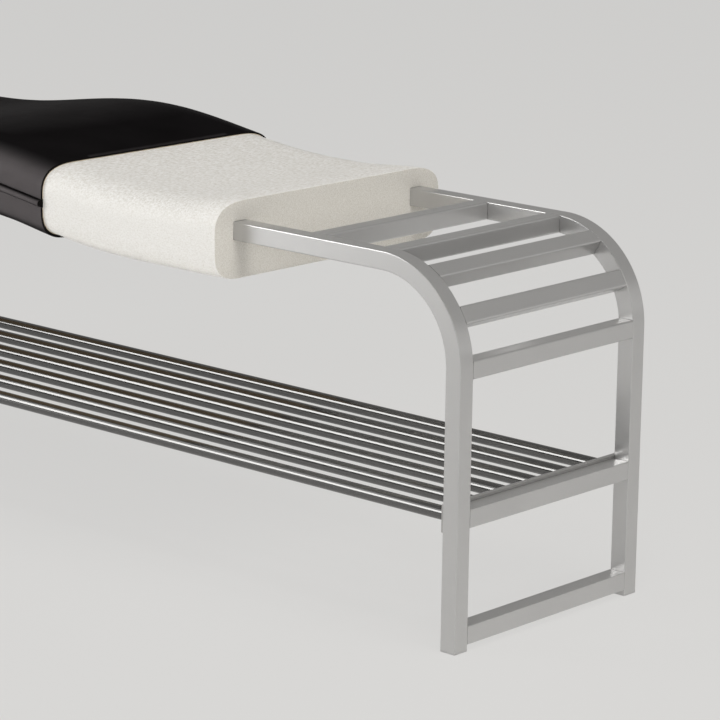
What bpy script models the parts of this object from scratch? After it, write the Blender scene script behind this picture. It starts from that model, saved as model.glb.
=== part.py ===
"""Shoe storage bench: bent square-tube frame, a rack of round rods and a wavy padded seat.

The bench stands on z = 0, with its length along x and its front towards -y.
At the right end (+x) the seat is cut back to show the frame, then the foam.
At the left end the padding follows the frame's bend down to its lowest slat.
"""

import math

import bmesh
import bpy
from mathutils import Matrix, Vector

# Frame sizes, in metres
FRAME_LENGTH = 1.490
FRAME_DEPTH = 0.303
RAIL_TOP = 0.408
TUBE = 0.020
TUBE_WALL = 0.0015
TUBE_CORNER = 0.002
BEND_RADIUS = 0.110
PLUG_LENGTH = 0.018
PLUG_CORNER = 0.001
CLEARANCE = 0.0003

# Slats and crossbars between the two frame tubes
SLAT_PITCH = 0.102
SLAT_BEFORE_BEND = 0.004
BEND_SLATS = 3
MIDDLE_SLATS = 3
FLOOR_BAR_LIFT = 0.007
RACK_HEIGHT = 0.142

# Shoe rack
ROD_COUNT = 6
ROD_DIAMETER = 0.015
ROD_WALL = 0.001
ROD_DROP = 0.0015
END_BAR_HEIGHT = 0.030
END_BAR_THICKNESS = 0.0055
END_BAR_INSET = 0.0045
END_BAR_CORNER = 0.0008
ROD_MARGIN = 0.0095

# Seat padding
SEAT_OVERHANG = 0.029
FOAM_ABOVE_RAIL = 0.022
FOAM_BELOW_RAIL = 0.0425
SEAT_CORNER = 0.035
LARGEST_CORNER_SHARE = 0.45
TOP_CORNER_WIDTH = 0.0525
LOW_CORNER_WIDTH = 0.041
CORNER_FULLNESS = 2.8
FOAM_BELOW_SLAT = 0.018
BARE_RAIL = 0.094
BARE_FOAM = 0.269
LEATHER = 0.0015
PIPING_DIAMETER = 0.008
PIPING_BELOW_CORNER = 0.0037

# Wave of the seat: a crest in the middle, a sitting hollow on each side of it
SEAT_CREST = 0.022
SEAT_HOLLOW = 0.006
UNDERSIDE_RISE = 0.025
HOLLOW_OFFSET = 0.325
HOLLOW_FADE = 0.100
CREST_SHARPNESS = 1.4

# Smoothness, in steps
TUBE_CORNER_STEPS = 2
BEND_STEPS = 10
ROD_SIDES = 20
SEAT_CORNER_STEPS = 5
SEAT_BEND_STEPS = 8
LEATHER_STEPS = 18
BARE_FOAM_STEPS = 6
PIPING_SIDES = 8
BAR_CORNER_STEPS = 2
SMOOTH_ANGLE = math.radians(40)

# Places along the bench, with the origin in the middle of the whole length
SKIN = CLEARANCE + LEATHER
RIGHT_FACE = (FRAME_LENGTH + FOAM_ABOVE_RAIL + SKIN) / 2
LEFT_FACE = RIGHT_FACE - FRAME_LENGTH
MIDDLE_X = (RIGHT_FACE + LEFT_FACE) / 2
RIGHT_BEND_X = RIGHT_FACE - BEND_RADIUS
LEFT_BEND_X = LEFT_FACE + BEND_RADIUS
BEND_Z = RAIL_TOP - BEND_RADIUS
OUTER_SLAT_X = RIGHT_BEND_X - SLAT_BEFORE_BEND
INNER_SLAT_X = OUTER_SLAT_X - SLAT_PITCH
FOAM_CUT_X = INNER_SLAT_X - TUBE / 2 - BARE_RAIL
LEATHER_CUT_X = FOAM_CUT_X - BARE_FOAM

# Places across and up
TUBE_Y = (FRAME_DEPTH - TUBE) / 2
CROSS_LENGTH = FRAME_DEPTH - 2 * TUBE - 2 * CLEARANCE
SEAT_WIDTH = FRAME_DEPTH + 2 * SEAT_OVERHANG
SEAT_TOP = RAIL_TOP + FOAM_ABOVE_RAIL
SEAT_BOTTOM = RAIL_TOP - TUBE - FOAM_BELOW_RAIL
SEAT_THICKNESS = SEAT_TOP - SEAT_BOTTOM
CORNER = min(SEAT_CORNER, LARGEST_CORNER_SHARE * SEAT_THICKNESS)
SIDE_TOP = SEAT_TOP - CORNER
SIDE_BOTTOM = SEAT_BOTTOM + CORNER
SEAM_HALF = PIPING_DIAMETER / 2 + CLEARANCE
PIPING_Z = SIDE_TOP - PIPING_BELOW_CORNER - SEAM_HALF
PADDED_END_Z = BEND_Z - TUBE / 2 - FOAM_BELOW_SLAT

DOWN_TURN = -math.pi / 2
Y_AXIS = Vector((0, 1, 0))


def clear_scene():
    """Removes every object of the start-up scene."""
    for item in list(bpy.data.objects):
        bpy.data.objects.remove(item, do_unlink=True)


def new_collection(name):
    """Adds a collection to the scene."""
    collection = bpy.data.collections.new(name)
    bpy.context.scene.collection.children.link(collection)
    return collection


def principled(name, colour, roughness, metallic):
    """A material of one colour and finish."""
    material = bpy.data.materials.new(name)
    material.use_nodes = True
    shader = material.node_tree.nodes["Principled BSDF"]
    shader.inputs["Base Color"].default_value = (*colour, 1.0)
    shader.inputs["Roughness"].default_value = roughness
    shader.inputs["Metallic"].default_value = metallic
    return material


def to_mesh(name, shape):
    """Turns a bmesh into a mesh that is smooth over its round stretches."""
    mesh = bpy.data.meshes.new(name)
    shape.to_mesh(mesh)
    shape.free()
    mesh.shade_smooth()
    mesh.set_sharp_from_angle(angle=SMOOTH_ANGLE)
    return mesh


def add_object(name, mesh, material, group, location=(0, 0, 0), tilt=0.0):
    """Places a mesh as a named piece, turned by a tilt about y."""
    piece = bpy.data.objects.new(name, mesh)
    if not mesh.materials:
        mesh.materials.append(material)
    piece.location = location
    piece.rotation_euler = (0, tilt, 0)
    piece.parent = group
    PARTS.objects.link(piece)
    return piece


def add_group(name):
    """An empty that carries the pieces of one assembly."""
    group = bpy.data.objects.new(name, None)
    PARTS.objects.link(group)
    return group


def add_wall(piece, thickness):
    """Gives an open surface a wall on its inner side."""
    wall = piece.modifiers.new("wall", "SOLIDIFY")
    wall.thickness = thickness
    wall.offset = -1
    wall.use_even_offset = True


def round_edges(piece, radius, steps):
    """Rounds the edges of a piece."""
    rounding = piece.modifiers.new("rounding", "BEVEL")
    rounding.width = radius
    rounding.segments = steps


def corner_arc(centre, radius, start, steps):
    """Points of a quarter circle from a start angle, counter-clockwise."""
    angles = [start + math.pi / 2 * step / steps for step in range(steps + 1)]
    return [(centre[0] + radius * math.cos(a), centre[1] + radius * math.sin(a)) for a in angles]


def rounded_rectangle(low, high, radius, steps):
    """Outline between two opposite corners, with each corner as an arc."""
    right, left = high[0] - radius, low[0] + radius
    top, bottom = high[1] - radius, low[1] + radius
    points = corner_arc((right, top), radius, 0, steps)
    points += corner_arc((left, top), radius, math.pi / 2, steps)
    points += corner_arc((left, bottom), radius, math.pi, steps)
    points += corner_arc((right, bottom), radius, -math.pi / 2, steps)
    return points


def full_corner(centre, size, start, steps):
    """Points of a quarter of a squarish oval from a start angle, counter-clockwise."""
    power = 2 / CORNER_FULLNESS
    points = []
    for step in range(steps + 1):
        turn = start + math.pi / 2 * step / steps
        along, up = math.cos(turn), math.sin(turn)
        points.append((centre[0] + size[0] * math.copysign(abs(along) ** power, along),
                       centre[1] + size[1] * math.copysign(abs(up) ** power, up)))
    return points


def circle(centre, radius, sides):
    """Points of a full circle."""
    angles = [2 * math.pi * side / sides for side in range(sides)]
    return [(centre[0] + radius * math.cos(a), centre[1] + radius * math.sin(a)) for a in angles]


def outline_edges(shape, points, closed):
    """Draws an outline from points in space and returns its edges."""
    corners = [shape.verts.new(point) for point in points]
    followers = corners[1:] + corners[:1] if closed else corners[1:]
    return [shape.edges.new(pair) for pair in zip(corners, followers)]


def draw_straight(shape, edges, move, steps=1):
    """Extrudes an outline along a straight move and returns its far end."""
    swept = bmesh.ops.spin(shape, geom=edges, cent=(0, 0, 0), axis=Y_AXIS,
                           dvec=Vector(move) / steps, angle=0, steps=steps)
    return [item for item in swept["geom_last"] if isinstance(item, bmesh.types.BMEdge)]


def draw_bend(shape, edges, bend_x, steps):
    """Turns an outline a quarter turn about a bend's axis and returns its far end."""
    swept = bmesh.ops.spin(shape, geom=edges, cent=(bend_x, 0, BEND_Z), axis=Y_AXIS,
                           angle=DOWN_TURN, steps=steps)
    return [item for item in swept["geom_last"] if isinstance(item, bmesh.types.BMEdge)]


def close_ends(shape, *ends):
    """Fills the open ends of a swept outline."""
    for edges in ends:
        bmesh.ops.contextual_create(shape, geom=edges)


def face_outwards(shape):
    """Makes the faces agree and point out."""
    bmesh.ops.recalc_face_normals(shape, faces=shape.faces)


def frame_tube_mesh(name, y):
    """Skin of one frame tube: leg, bend, rail, bend and leg, open at both feet."""
    shape = bmesh.new()
    low = (RIGHT_FACE - TUBE, y - TUBE / 2)
    high = (RIGHT_FACE, y + TUBE / 2)
    section = rounded_rectangle(low, high, TUBE_CORNER, TUBE_CORNER_STEPS)
    edges = outline_edges(shape, [(px, py, 0) for px, py in section], True)
    edges = draw_straight(shape, edges, (0, 0, BEND_Z))
    edges = draw_bend(shape, edges, RIGHT_BEND_X, BEND_STEPS)
    edges = draw_straight(shape, edges, (LEFT_BEND_X - RIGHT_BEND_X, 0, 0))
    edges = draw_bend(shape, edges, LEFT_BEND_X, BEND_STEPS)
    draw_straight(shape, edges, (0, 0, -BEND_Z))
    face_outwards(shape)
    return to_mesh(name, shape)


def cross_tube_mesh():
    """Skin of one slat or crossbar, centred, along y and open at both ends."""
    shape = bmesh.new()
    half = TUBE / 2
    section = rounded_rectangle((-half, -half), (half, half), TUBE_CORNER, TUBE_CORNER_STEPS)
    edges = outline_edges(shape, [(px, -CROSS_LENGTH / 2, pz) for px, pz in section], True)
    draw_straight(shape, edges, (0, CROSS_LENGTH, 0))
    face_outwards(shape)
    return to_mesh("cross_tube", shape)


def bar_mesh(name, size):
    """A plain bar, centred."""
    shape = bmesh.new()
    bmesh.ops.create_cube(shape, size=1, matrix=Matrix.Diagonal((*size, 1)))
    return to_mesh(name, shape)


def rod_mesh(length):
    """Skin of one round rack rod, centred, along x and open at both ends."""
    shape = bmesh.new()
    radius = ROD_DIAMETER / 2
    bmesh.ops.create_cone(shape, segments=ROD_SIDES, radius1=radius, radius2=radius, depth=length,
                          matrix=Matrix.Rotation(math.pi / 2, 4, "Y"))
    return to_mesh("rack_rod", shape)


def slat_places():
    """Centres and tilts of the right end's slats, from the seat towards the leg."""
    middle = RAIL_TOP - TUBE / 2
    places = [(INNER_SLAT_X, middle, 0.0), (OUTER_SLAT_X, middle, 0.0)]
    reach = BEND_RADIUS - TUBE / 2
    for step in range(1, BEND_SLATS + 1):
        tilt = math.pi / 2 * step / BEND_SLATS
        places.append((RIGHT_BEND_X + reach * math.sin(tilt), BEND_Z + reach * math.cos(tilt), tilt))
    return places


def mirrored(x):
    """The place at the other end of the frame."""
    return 2 * MIDDLE_X - x


def add_frame():
    """Frame tubes, their foot plugs, slats and crossbars."""
    group = add_group("frame")
    steel = principled("satin_steel", (0.44, 0.435, 0.43), 0.38, 0.55)
    plastic = principled("plug_plastic", (0.03, 0.03, 0.03), 0.6, 0.0)
    for name, y in (("front_frame_tube", -TUBE_Y), ("rear_frame_tube", TUBE_Y)):
        tube = add_object(name, frame_tube_mesh(name, y), steel, group)
        add_wall(tube, TUBE_WALL)

    plug_width = TUBE - 2 * TUBE_WALL - 2 * CLEARANCE
    plug = bar_mesh("leg_plug", (plug_width, plug_width, PLUG_LENGTH))
    for end, x in (("right", RIGHT_FACE - TUBE / 2), ("left", LEFT_FACE + TUBE / 2)):
        for side, y in (("front", -TUBE_Y), ("rear", TUBE_Y)):
            piece = add_object(f"{end}_{side}_leg_plug", plug, plastic, group, (x, y, PLUG_LENGTH / 2))
            round_edges(piece, PLUG_CORNER, BAR_CORNER_STEPS)

    cross = cross_tube_mesh()
    for number, (x, z, tilt) in enumerate(slat_places(), 1):
        piece = add_object(f"right_slat_{number}", cross, steel, group, (x, 0, z), tilt)
        add_wall(piece, TUBE_WALL)
        piece = add_object(f"left_slat_{number}", cross, steel, group, (mirrored(x), 0, z), -tilt)
        add_wall(piece, TUBE_WALL)
    for number, x in enumerate(middle_slat_places(), 1):
        piece = add_object(f"middle_slat_{number}", cross, steel, group, (x, 0, RAIL_TOP - TUBE / 2))
        add_wall(piece, TUBE_WALL)
    for end, x in (("right", RIGHT_FACE - TUBE / 2), ("left", LEFT_FACE + TUBE / 2)):
        for level, z in (("rack", RACK_HEIGHT), ("floor", FLOOR_BAR_LIFT + TUBE / 2)):
            piece = add_object(f"{end}_{level}_crossbar", cross, steel, group, (x, 0, z))
            add_wall(piece, TUBE_WALL)


def middle_slat_places():
    """Places of the hidden slats, even between the inner slats of the two ends."""
    span = mirrored(INNER_SLAT_X) - INNER_SLAT_X
    return [INNER_SLAT_X + span * number / (MIDDLE_SLATS + 1) for number in range(1, MIDDLE_SLATS + 1)]


def add_rack():
    """Six round rods between two flat end bars on the rack crossbars."""
    group = add_group("rack")
    steel = principled("satin_end_bar", (0.36, 0.355, 0.35), 0.4, 0.55)
    chrome = principled("rod_chrome", (0.55, 0.54, 0.52), 0.12, 1.0)
    bar_length = FRAME_DEPTH - 2 * END_BAR_INSET
    rod_z = RACK_HEIGHT - ROD_DROP
    bar = bar_mesh("rack_end_bar", (END_BAR_THICKNESS, bar_length, END_BAR_HEIGHT))
    bar_x = RIGHT_FACE - TUBE - CLEARANCE - END_BAR_THICKNESS / 2
    for end, x in (("right", bar_x), ("left", mirrored(bar_x))):
        piece = add_object(f"{end}_rack_end_bar", bar, steel, group, (x, 0, rod_z))
        round_edges(piece, END_BAR_CORNER, BAR_CORNER_STEPS)

    rod_end = bar_x - END_BAR_THICKNESS / 2 - CLEARANCE
    rod = rod_mesh(rod_end - mirrored(rod_end))
    first_y = -bar_length / 2 + ROD_MARGIN + ROD_DIAMETER / 2
    pitch = -2 * first_y / (ROD_COUNT - 1)
    for number in range(ROD_COUNT):
        y = first_y + pitch * number
        piece = add_object(f"rack_rod_{number + 1}", rod, chrome, group, (MIDDLE_X, y, rod_z))
        add_wall(piece, ROD_WALL)


def crest_share(x):
    """Share of the crest's rise: 1 in the middle of the bench, 0 from the hollows outwards."""
    reach = min(abs(x - MIDDLE_X) / HOLLOW_OFFSET, 1.0)
    return (0.5 + 0.5 * math.cos(math.pi * reach)) ** CREST_SHARPNESS


def hollow_share(x):
    """Share of the hollows' depth: 1 as far as the hollows, fading to 0 towards the ends."""
    past = (abs(x - MIDDLE_X) - HOLLOW_OFFSET) / HOLLOW_FADE
    past = min(max(past, 0.0), 1.0)
    return 0.5 + 0.5 * math.cos(math.pi * past)


def bend_into_wave(shape):
    """Lifts the straight stretch of the seat into its wave, top and underside each by its own rise."""
    for vert in shape.verts:
        if vert.co.x <= LEFT_BEND_X:
            continue
        crest = crest_share(vert.co.x)
        top_rise = (SEAT_CREST + SEAT_HOLLOW) * crest - SEAT_HOLLOW * hollow_share(vert.co.x)
        height = (vert.co.z - SEAT_BOTTOM) / SEAT_THICKNESS
        vert.co.z += height * top_rise + (1 - height) * UNDERSIDE_RISE * crest


def sweep_seat(name, section, closed, from_foam_cut=False):
    """Sweeps a section of y and z points along the seat, down to the end of the padding."""
    shape = bmesh.new()
    start_x = FOAM_CUT_X if from_foam_cut else LEATHER_CUT_X
    first = outline_edges(shape, [(start_x, y, z) for y, z in section], closed)
    last = first
    if from_foam_cut:
        last = draw_straight(shape, last, (LEATHER_CUT_X - FOAM_CUT_X, 0, 0), BARE_FOAM_STEPS)
    last = draw_straight(shape, last, (LEFT_BEND_X - LEATHER_CUT_X, 0, 0), LEATHER_STEPS)
    last = draw_bend(shape, last, LEFT_BEND_X, SEAT_BEND_STEPS)
    last = draw_straight(shape, last, (0, 0, PADDED_END_Z - BEND_Z))
    bend_into_wave(shape)
    if closed:
        close_ends(shape, first, last)
    face_outwards(shape)
    return to_mesh(name, shape)


def seat_section(grow):
    """Closed outline of the seat, grown on all sides."""
    top_y = SEAT_WIDTH / 2 - TOP_CORNER_WIDTH
    low_y = SEAT_WIDTH / 2 - LOW_CORNER_WIDTH
    top_size = (TOP_CORNER_WIDTH + grow, CORNER + grow)
    low_size = (LOW_CORNER_WIDTH + grow, CORNER + grow)
    points = full_corner((top_y, SIDE_TOP), top_size, 0, SEAT_CORNER_STEPS)
    points += full_corner((-top_y, SIDE_TOP), top_size, math.pi / 2, SEAT_CORNER_STEPS)
    points += full_corner((-low_y, SIDE_BOTTOM), low_size, math.pi, SEAT_CORNER_STEPS)
    points += full_corner((low_y, SIDE_BOTTOM), low_size, -math.pi / 2, SEAT_CORNER_STEPS)
    return points


def panel_section(seam_z, upper):
    """Open outline of the upper or the lower leather panel, from the front seam to the rear seam."""
    points = seat_section(SKIN)
    half = len(points) // 2
    rows = points[:half] if upper else points[half:]
    first, last = rows[0], rows[-1]
    return [(first[0], seam_z)] + rows + [(last[0], seam_z)]


def add_cutter(name, mesh, location=(0, 0, 0), tilt=0.0):
    """Adds a body that hollows the seat out."""
    cutter = bpy.data.objects.new(name, mesh)
    cutter.location = location
    cutter.rotation_euler = (0, tilt, 0)
    cutter.hide_render = True
    cutter.display_type = "WIRE"
    CUTTERS.objects.link(cutter)


def tube_channel_mesh(name, y):
    """Square channel for a frame tube, from the bare rail to below the padded end."""
    shape = bmesh.new()
    half = TUBE / 2 + CLEARANCE
    centre_z = RAIL_TOP - TUBE / 2
    corners = [(y - half, centre_z - half), (y + half, centre_z - half),
               (y + half, centre_z + half), (y - half, centre_z + half)]
    first = outline_edges(shape, [(INNER_SLAT_X, py, pz) for py, pz in corners], True)
    last = draw_straight(shape, first, (LEFT_BEND_X - INNER_SLAT_X, 0, 0))
    last = draw_bend(shape, last, LEFT_BEND_X, BEND_STEPS)
    last = draw_straight(shape, last, (0, 0, PADDED_END_Z - BEND_Z - TUBE))
    close_ends(shape, first, last)
    face_outwards(shape)
    return to_mesh(name, shape)


def add_cutters():
    """Channels for the two frame tubes and pockets for the slats inside the seat."""
    add_cutter("front_tube_channel", tube_channel_mesh("front_tube_channel", -TUBE_Y))
    add_cutter("rear_tube_channel", tube_channel_mesh("rear_tube_channel", TUBE_Y))
    width = TUBE + 2 * CLEARANCE
    pocket = bar_mesh("slat_pocket", (width, CROSS_LENGTH + 2 * CLEARANCE, width))
    for number, (x, z, tilt) in enumerate(slat_places(), 1):
        add_cutter(f"left_slat_pocket_{number}", pocket, (mirrored(x), 0, z), -tilt)
    for number, x in enumerate(middle_slat_places(), 1):
        add_cutter(f"middle_slat_pocket_{number}", pocket, (x, 0, RAIL_TOP - TUBE / 2))


def cut_out(piece):
    """Cuts the channels and pockets out of a piece."""
    cut = piece.modifiers.new("channels", "BOOLEAN")
    cut.operation = "DIFFERENCE"
    cut.operand_type = "COLLECTION"
    cut.collection = CUTTERS
    cut.solver = "EXACT"


def end_panel_mesh():
    """Leather panel that closes the padded end from below."""
    shape = bmesh.new()
    section = [(LEFT_BEND_X - (z - BEND_Z), y) for y, z in seat_section(SKIN)]
    top = PADDED_END_Z - CLEARANCE
    first = outline_edges(shape, [(px, py, top) for px, py in section], True)
    last = draw_straight(shape, first, (0, 0, -LEATHER))
    close_ends(shape, first, last)
    face_outwards(shape)
    return to_mesh("leather_end_panel", shape)


def add_seat():
    """Foam, its leather panels and the piping in their seams."""
    group = add_group("seat")
    foam = principled("foam", (0.8, 0.79, 0.75), 0.95, 0.0)
    leather = principled("leather", (0.012, 0.011, 0.011), 0.42, 0.0)
    add_cutters()
    pad = add_object("seat_foam", sweep_seat("seat_foam", seat_section(0), True, True), foam, group)
    cut_out(pad)

    for name, upper, seam_z in (("leather_upper_panel", True, PIPING_Z + SEAM_HALF),
                                ("leather_lower_panel", False, PIPING_Z - SEAM_HALF)):
        mesh = sweep_seat(name, panel_section(seam_z, upper), False)
        add_wall(add_object(name, mesh, leather, group), LEATHER)
    cut_out(add_object("leather_end_panel", end_panel_mesh(), leather, group))

    cord_y = SEAT_WIDTH / 2 + CLEARANCE + PIPING_DIAMETER / 2
    for name, y in (("front_piping", -cord_y), ("rear_piping", cord_y)):
        section = circle((y, PIPING_Z), PIPING_DIAMETER / 2, PIPING_SIDES)
        add_object(name, sweep_seat(name, section, True), leather, group)


clear_scene()
PARTS = new_collection("shoe_storage_bench")
CUTTERS = new_collection("seat_cutters")
add_frame()
add_rack()
add_seat()
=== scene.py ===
import math

import bmesh
import bpy
import numpy as np
from mathutils import Matrix, Vector
from mathutils.geometry import delaunay_2d_cdt


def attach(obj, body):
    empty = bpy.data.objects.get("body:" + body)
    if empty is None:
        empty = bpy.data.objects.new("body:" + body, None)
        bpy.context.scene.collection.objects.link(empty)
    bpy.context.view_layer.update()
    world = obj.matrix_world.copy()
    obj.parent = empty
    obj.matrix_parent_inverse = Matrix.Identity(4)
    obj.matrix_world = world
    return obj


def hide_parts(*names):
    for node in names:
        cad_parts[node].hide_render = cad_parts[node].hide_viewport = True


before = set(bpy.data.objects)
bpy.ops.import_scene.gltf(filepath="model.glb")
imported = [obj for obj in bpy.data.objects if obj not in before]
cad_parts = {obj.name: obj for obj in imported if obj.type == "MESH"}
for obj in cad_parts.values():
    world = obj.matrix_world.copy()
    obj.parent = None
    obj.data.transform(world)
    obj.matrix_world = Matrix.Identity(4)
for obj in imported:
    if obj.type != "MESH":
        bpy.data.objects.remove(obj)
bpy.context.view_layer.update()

# Sizes of the solids, in metres, with their counts and the shape of their curves
FRAME_LENGTH = 1.490
FRAME_DEPTH = 0.303
RAIL_TOP = 0.408
TUBE = 0.020
TUBE_WALL = 0.0015
BEND_RADIUS = 0.110
CLEARANCE = 0.0003
SLAT_PITCH = 0.102
SLAT_BEFORE_BEND = 0.004
BEND_SLATS = 3
MIDDLE_SLATS = 3
FLOOR_BAR_LIFT = 0.007
RACK_HEIGHT = 0.142
ROD_COUNT = 6
ROD_DIAMETER = 0.015
ROD_DROP = 0.0015
ROD_MARGIN = 0.0095
END_BAR_HEIGHT = 0.030
END_BAR_THICKNESS = 0.0055
END_BAR_INSET = 0.0045
SEAT_OVERHANG = 0.029
FOAM_ABOVE_RAIL = 0.022
FOAM_BELOW_RAIL = 0.0425
FOAM_BELOW_SLAT = 0.018
SEAT_CORNER = 0.035
TOP_CORNER_WIDTH = 0.0525
LOW_CORNER_WIDTH = 0.041
CORNER_FULLNESS = 2.8
BARE_RAIL = 0.094
LEATHER = 0.0015
PIPING_DIAMETER = 0.008
PIPING_BELOW_CORNER = 0.0037
SEAT_CREST = 0.022
SEAT_HOLLOW = 0.006
UNDERSIDE_RISE = 0.025
HOLLOW_OFFSET = 0.325
HOLLOW_FADE = 0.100
CREST_SHARPNESS = 1.4

# Bare foam between its cut face and the leather, which reaches 1.8 mm further than its solids
BARE_FOAM = 0.2672

# Places that follow from the sizes
SKIN = CLEARANCE + LEATHER
RIGHT_FACE = (FRAME_LENGTH + FOAM_ABOVE_RAIL + SKIN) / 2
LEFT_FACE = RIGHT_FACE - FRAME_LENGTH
MIDDLE_X = (RIGHT_FACE + LEFT_FACE) / 2
RIGHT_BEND_X = RIGHT_FACE - BEND_RADIUS
LEFT_BEND_X = LEFT_FACE + BEND_RADIUS
BEND_Z = RAIL_TOP - BEND_RADIUS
BEND_REACH = BEND_RADIUS - TUBE / 2
RAIL_MIDDLE = RAIL_TOP - TUBE / 2
OUTER_SLAT_X = RIGHT_BEND_X - SLAT_BEFORE_BEND
INNER_SLAT_X = OUTER_SLAT_X - SLAT_PITCH
FOAM_CUT_X = INNER_SLAT_X - TUBE / 2 - BARE_RAIL
LEATHER_CUT_X = FOAM_CUT_X - BARE_FOAM
TUBE_Y = (FRAME_DEPTH - TUBE) / 2
CROSS_LENGTH = FRAME_DEPTH - 2 * TUBE - 2 * CLEARANCE
SEAT_WIDTH = FRAME_DEPTH + 2 * SEAT_OVERHANG
SEAT_TOP = RAIL_TOP + FOAM_ABOVE_RAIL
SEAT_BOTTOM = RAIL_TOP - TUBE - FOAM_BELOW_RAIL
SEAT_THICKNESS = SEAT_TOP - SEAT_BOTTOM
SIDE_TOP = SEAT_TOP - SEAT_CORNER
SIDE_BOTTOM = SEAT_BOTTOM + SEAT_CORNER
SEAM_HALF = PIPING_DIAMETER / 2 + CLEARANCE
PIPING_Z = SIDE_TOP - PIPING_BELOW_CORNER - SEAM_HALF
PADDED_END_Z = BEND_Z - TUBE / 2 - FOAM_BELOW_SLAT

# Finer shape of the looks, in metres and in steps along a curve
TUBE_CORNER = 0.0013
LEG_CORNER = 0.0010
SLAT_CORNER = 0.0024
END_BAR_CORNER = 0.0008
BAR_CHAMFER = 0.0004
FOOT_DEPTH = 0.021
BEND_STEPS = 44
CORNER_STEPS = 5
ROD_SIDES = 56
SEAT_CORNER_STEPS = 16
SEAT_TOP_STEPS = 36
SEAT_SIDE_STEPS = 3
SEAT_BEND_STEPS = 22
SEAT_DROP_STEPS = 4
FOAM_STEP = 0.0045
FOAM_EDGE = 0.0004
FOAM_EDGE_STEPS = 4
CUT_FACE_STEP = 0.006
CUT_ROW_SHIFT = 0.25
CUT_BORDER_GAP = 0.6
COVER_STEP = 0.009
LEATHER_IN = 0.0002
LEATHER_OUT = 0.0030
LEATHER_EDGE = 0.0005
BACKING = 0.0006
SEAM_ROUND = 0.0011
SEAM_STEPS = 3
HANG = 0.0011
HANG_FADE = 0.065
PIPING_SIDES = 18
PIPING_SHORT = 0.0005
PIPING_EDGE = 0.0006
PIPING_END_SHARE = 0.94
FLANGE_IN = 0.0001
FLANGE_OUT = 0.0007
QUARTER = math.pi / 2
SMOOTH_ANGLE = math.radians(38)
FLAT_FACE_WEIGHT = 100
SAME_VERTEX = 1e-6
SAME_CUT_POINT = 1e-7
INSIDE_TRIANGLES = 1

# Cloth simulation of the two large panels
CLOTH_FRAMES = 20
CLOTH_QUALITY = 6
CLOTH_MASS = 0.6
CLOTH_STRETCH = 60
CLOTH_SHEAR = 30
CLOTH_BENDING = 6
CLOTH_PRESSURE = 0.22
SWELL_CAP = 0.0011
SMALLEST_MOVE = 1e-9

# Sockets of the colour mix node, and the places of the leather's materials on a panel
MIX_SHARE, MIX_FIRST, MIX_SECOND, MIX_RESULT = 0, 6, 7, 2
SKIN_PLACE, CORE_AND_HOLE_SHADE_PLACE, BACK_PLACE = 0, 1, 2

# Grain of the materials. A scale is about the number of grains in a metre.
NOISE_RANGE = (0.3, 0.7)
METAL_CLOUD_SCALE = 9.0
METAL_CLOUD_SHARE = (0.05, 0.40)
METAL_FLAKE_SHARE = 0.55
METAL_GLOSS_SCALE = 60.0
METAL_GLOSS_SPREAD = 0.015
METAL_RELIEF_SHARE = 0.7
METAL_RELIEF_DEPTH = 0.0002
FOAM_GRAIN_SCALE = 700.0
FOAM_GRAIN_RANGE = (0.36, 0.64)
FOAM_TOP_RANGE = (0.3, 0.9)
FOAM_PORE_SCALE = 620.0
FOAM_PORE_RANGE = (0.55, 0.70)
FOAM_PORE_SHARE = 0.35
FOAM_ROUGHNESS = 0.95
FOAM_SHINE = 0.15
FOAM_RELIEF = 0.35
FOAM_RELIEF_DEPTH = 0.0007
RAW_SHINE = 0.1
RAW_RELIEF = 0.3
RAW_RELIEF_DEPTH = 0.0003
LEATHER_DARK = (0.0066, 0.0060, 0.0063)
LEATHER_LIGHT = (0.0090, 0.0082, 0.0086)
LEATHER_TINT = (1.0, 0.91, 0.93)
LEATHER_IOR = 1.75
LEATHER_CLOUD_SCALE = 14.0
LEATHER_WEAR_SCALE = 45.0
LEATHER_ROUGHNESS = (0.76, 0.82)
PEBBLE_SCALE = 820.0
PEBBLE_SMOOTHNESS = 0.6
PEBBLE_RELIEF = 0.10
PEBBLE_DEPTH = 0.0004
LEATHER_PORE_SCALE = 2600.0
LEATHER_PORE_RELIEF = 0.05
LEATHER_PORE_DEPTH = 0.0002

# Gloss of the leather: it grows from the level top to the sides, fades underneath and is higher at a glance
SIDE_LEAN = (math.radians(12), math.radians(46))
SIDE_SHINE = 0.76
UNDER_LEAN = (math.radians(108), math.radians(134))
UNDER_SHARE = 0.12
GLANCE_RANGE = (0.76, 0.90)
GLANCE_SHINE = 0.06

# Floor and studio
FLOOR_DARK = (0.76, 0.752, 0.735)
FLOOR_LIGHT = (0.78, 0.772, 0.755)
FLOOR_GLOW = (0.690, 0.684, 0.672)
FLOOR_CLOUD_SCALE = 0.7
FLOOR_SHADOW = 0.12
MIRRORED_SHADOW = 0.40
FLOOR_CENTRE = 0.001
FLOOR_RADIUS = 9.0
FLOOR_RINGS = 6
FLOOR_SIDES = 96
FLOOR_DROP = 0.0004
RIM_WIDTH = 5.0
RIM_HEIGHT = 1.9
RIM_STEPS = 12
STUDIO_COLOUR = (1.0, 0.985, 0.96)
STUDIO_GLOW = 0.305
STUDIO_AIR = 0.015
BACKDROP_GLOW = 0.66

# Camera
CAMERA_PLACE = (2.8251, -2.5920, 1.0806)
CAMERA_AZIMUTH = math.radians(42.096)
CAMERA_ELEVATION = math.radians(13.536)
CAMERA_ROLL = math.radians(0.824)
CAMERA_LENS = 163.78
CAMERA_SENSOR = 36.0
CAMERA_SIGHT = 100.0

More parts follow.
